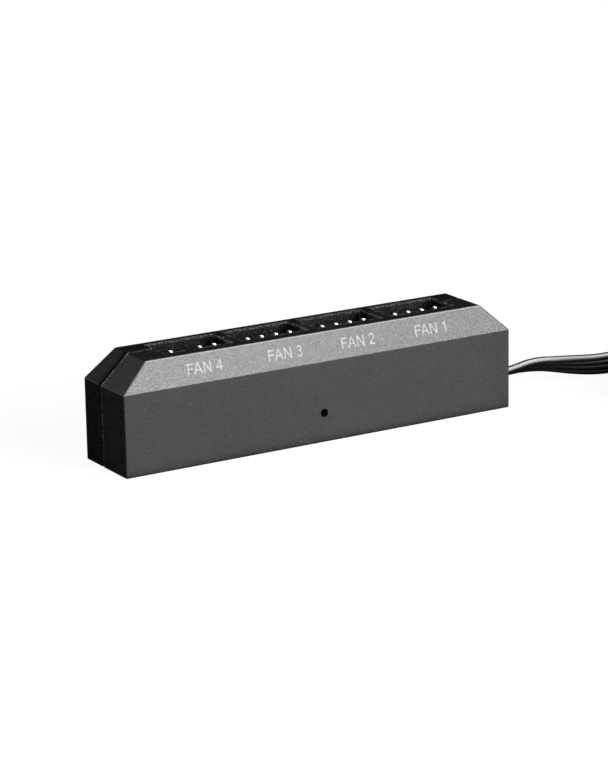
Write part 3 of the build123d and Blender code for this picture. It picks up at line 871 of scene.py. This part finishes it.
def label_mesh(number, left):
    """Letters scaled to their printed size and laid on the slope: x along the case, y up the slope."""
    mesh, points = label_shape(number)
    size = CAP_HEIGHT / LETTER_HEIGHT
    flat = points * [size * LETTER_SQUEEZE, size, INK_THICKNESS] + [left, 0.0, INK_THICKNESS / 2]
    slope_foot = SHOULDER * [0.0, 1.0, 1.0]
    rise = (CREST - SHOULDER) * [0.0, 1.0, 1.0]
    rise /= np.linalg.norm(rise)
    outward = np.cross([1.0, 0.0, 0.0], rise)
    foot = slope_foot + rise * (BASELINE_Z - slope_foot[2]) / rise[2]
    placed = foot + flat[:, :1] * [1.0, 0.0, 0.0] + flat[:, 1:2] * rise + flat[:, 2:] * outward
    mesh.vertices.foreach_set("co", placed.ravel())
    mesh.name = f"label_{number}"
    mesh.update()
    return mesh


def label_ink():
    """Pale ink, a little uneven."""
    material, g = new_finish("label_ink")
    film = g.grain(0.15 * MM, 3.0)
    g.principled({
        "Base Color": g.blend(film, grey(0.44), grey(0.62)),
        "Roughness": 0.5 + film * 0.2,
        "Normal": g.bump(film, 0.01 * MM),
    })
    return material


ink = label_ink()
for number, left in LABEL_LEFT.items():
    label = add_piece(f"label_{number}", label_mesh(number, left * MM), ink)
    print(label.name, "faces", len(label.data.polygons))

# %% [markdown]
# ## Studio
#
# A soft lamp stands in front and to the right, as high as the slope of the case leans, so that the slope
# throws it back to the camera while the front stays dark grey. A second lamp above it shows only in gloss,
# where it draws the lines along the rounded edges, the lead and the pins. Floor and sky are pale: the
# camera, gloss and glass see them as white, and the floor keeps the shadow. Black cards, which only
# reflections see, keep the shaded sides deep: one behind the object, one on the floor at each end, and one
# under the case.

# %% Floor
FLOOR_HALF = 3.0
FLOOR_DROP = 0.02 * MM
FLOOR_LEVEL = 0.8
FLOOR_GLOW = 1.25  # with the lamp's share, this is white
WHITE_SHARE = 0.75


def light_path(g, output):
    """1 for rays of one kind."""
    return g.node("ShaderNodeLightPath", output=output)


def seen_white(g):
    """1 for the rays that see the background: the camera's own, and those of gloss and of glass."""
    gloss_or_glass = light_path(g, "Is Glossy Ray") + light_path(g, "Is Transmission Ray")
    return light_path(g, "Is Camera Ray") + gloss_or_glass


def floor_paint():
    """Pale matt paint, mixed with a white glow for the rays that see the background."""
    material, g = new_finish("floor")
    matt = g.node("ShaderNodeBsdfDiffuse", inputs={"Color": grey(FLOOR_LEVEL)})
    glow = g.node("ShaderNodeEmission", inputs={"Color": grey(1.0), "Strength": FLOOR_GLOW})
    mixed = g.node("ShaderNodeMixShader", inputs={0: seen_white(g) * WHITE_SHARE, 1: matt, 2: glow})
    g.node("ShaderNodeOutputMaterial", inputs={"Surface": mixed})
    return material


def surface(name, points, material):
    """A grid of points joined into quads, as a part of the studio."""
    rows, columns = points.shape[:2]
    first = (np.arange(rows - 1)[:, None] * columns + np.arange(columns - 1)).ravel()
    quads = np.stack([first, first + 1, first + columns + 1, first + columns], axis=1)
    mesh = bpy.data.meshes.new(name)
    mesh.from_pydata(points.reshape(-1, 3).tolist(), [], quads.tolist())
    mesh.materials.append(material)
    made = bpy.data.objects.new(name, mesh)
    bpy.context.scene.collection.objects.link(made)
    return made


def flat_points(x_edges, y_edges, height):
    """A level rectangle between two values of x and two of y."""
    x, y = np.meshgrid(np.array(x_edges), np.array(y_edges))
    return np.stack([x, y, np.full_like(x, height)], axis=2)


FLOOR_EDGES = (-FLOOR_HALF, FLOOR_HALF)
surface("floor", flat_points(FLOOR_EDGES, FLOOR_EDGES, -FLOOR_DROP), floor_paint())
print("floor", 2 * FLOOR_HALF, "m across")

# %% Cards
CARD_RADIUS = 0.6
CARD_HEIGHT = 5.0
CARD_SIDES = np.radians([-22.5, 80.0])  # from straight behind, to the left and to the right
CARD_STEPS = 25
CARD_Z = 0.01 * MM - FLOOR_DROP  # a hair above the floor
CARD_LEFT = -35.2 * MM  # just off the left end of the case
CARD_LEFT_FRONT = -30.0 * MM
CARD_RIGHT = 36.5 * MM  # just off its right end, under the lead
CARD_RIGHT_FRONT = -12.0 * MM
SHADOW_CARD_REACH = 2.0 * MM  # how far the black card, a painted shadow of the case on the floor seen in reflections, reaches beyond it
CARD_LEVEL = 0.01


def black_card():
    """Matt black paper."""
    material, g = new_finish("card")
    matt = g.node("ShaderNodeBsdfDiffuse", inputs={"Color": grey(CARD_LEVEL)})
    g.node("ShaderNodeOutputMaterial", inputs={"Surface": matt})
    return material


def upright_points():
    """Part of an upright cylinder behind the object: angle one way, height the other."""
    sides = np.linspace(*CARD_SIDES, CARD_STEPS)
    angle, height = np.meshgrid(sides, np.array([0.0, CARD_HEIGHT]))
    return np.stack([CARD_RADIUS * np.sin(angle), CARD_RADIUS * np.cos(angle), height], axis=2)


def only_in_gloss(card):
    """Keeps a card out of everything but reflections."""
    card.visible_camera = False
    card.visible_diffuse = False
    card.visible_transmission = False
    card.visible_shadow = False


card_black = black_card()
left_end = flat_points((-CARD_RADIUS, CARD_LEFT), (CARD_LEFT_FRONT, CARD_RADIUS), CARD_Z)
right_end = flat_points((CARD_RIGHT, CARD_RADIUS), (CARD_RIGHT_FRONT, CARD_RADIUS), CARD_Z)
only_in_gloss(surface("card_behind", upright_points(), card_black))
only_in_gloss(surface("card_left", left_end, card_black))
only_in_gloss(surface("card_right", right_end, card_black))
# The black card under the case is a painted shadow: reflections see it in place of the floor's shade
# there.
foot_low, foot_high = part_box("front_shell")
foot_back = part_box("rear_shell")[1]
under_x = (foot_low.x - SHADOW_CARD_REACH, foot_high.x + SHADOW_CARD_REACH)
under_y = (foot_low.y - SHADOW_CARD_REACH, foot_back.y + SHADOW_CARD_REACH)
only_in_gloss(surface("card_under_painted_shadow", flat_points(under_x, under_y, CARD_Z), card_black))
print("card under the case, x in mm:", [round(x / MM, 1) for x in under_x])

# %% Lamps and sky
KEY_FROM = Vector((0.366, -0.882, 0.296))  # close to where the slope throws the camera's view
KEY_STRENGTH = 3.5
KEY_ANGLE = math.radians(35)
TOP_FROM = Vector((0.494, -0.381, 0.782))
TOP_STRENGTH = 4.5
TOP_ANGLE = math.radians(44)
WORLD_FILL = 0.1


def make_sun(name, source, strength, angle):
    """A lamp as wide as angle, far away in the direction of source."""
    data = bpy.data.lights.new(name, "SUN")
    data.energy = strength
    data.angle = angle
    lamp = bpy.data.objects.new(name, data)
    lamp.rotation_mode = "QUATERNION"
    lamp.rotation_quaternion = source.to_track_quat("Z", "Y")
    bpy.context.scene.collection.objects.link(lamp)
    return lamp


def make_world():
    """White to the camera and to gloss and glass, and a low even light on everything else."""
    world = bpy.data.worlds.new("studio")
    g = Graph(world)
    strength = WORLD_FILL + seen_white(g) * (1.0 - WORLD_FILL)
    sky = g.node("ShaderNodeBackground", inputs={"Color": grey(1.0), "Strength": strength})
    g.node("ShaderNodeOutputWorld", inputs={"Surface": sky})
    bpy.context.scene.world = world


key = make_sun("key", KEY_FROM, KEY_STRENGTH, KEY_ANGLE)
top = make_sun("top", TOP_FROM, TOP_STRENGTH, TOP_ANGLE)
top.visible_diffuse = False
make_world()
bpy.context.scene.view_settings.view_transform = "Standard"
print("key lamp", key.data.energy, "fill", WORLD_FILL)

# %% [markdown]
# ## Sizes
#
# The dressed model is meant to stay the size of the solids.
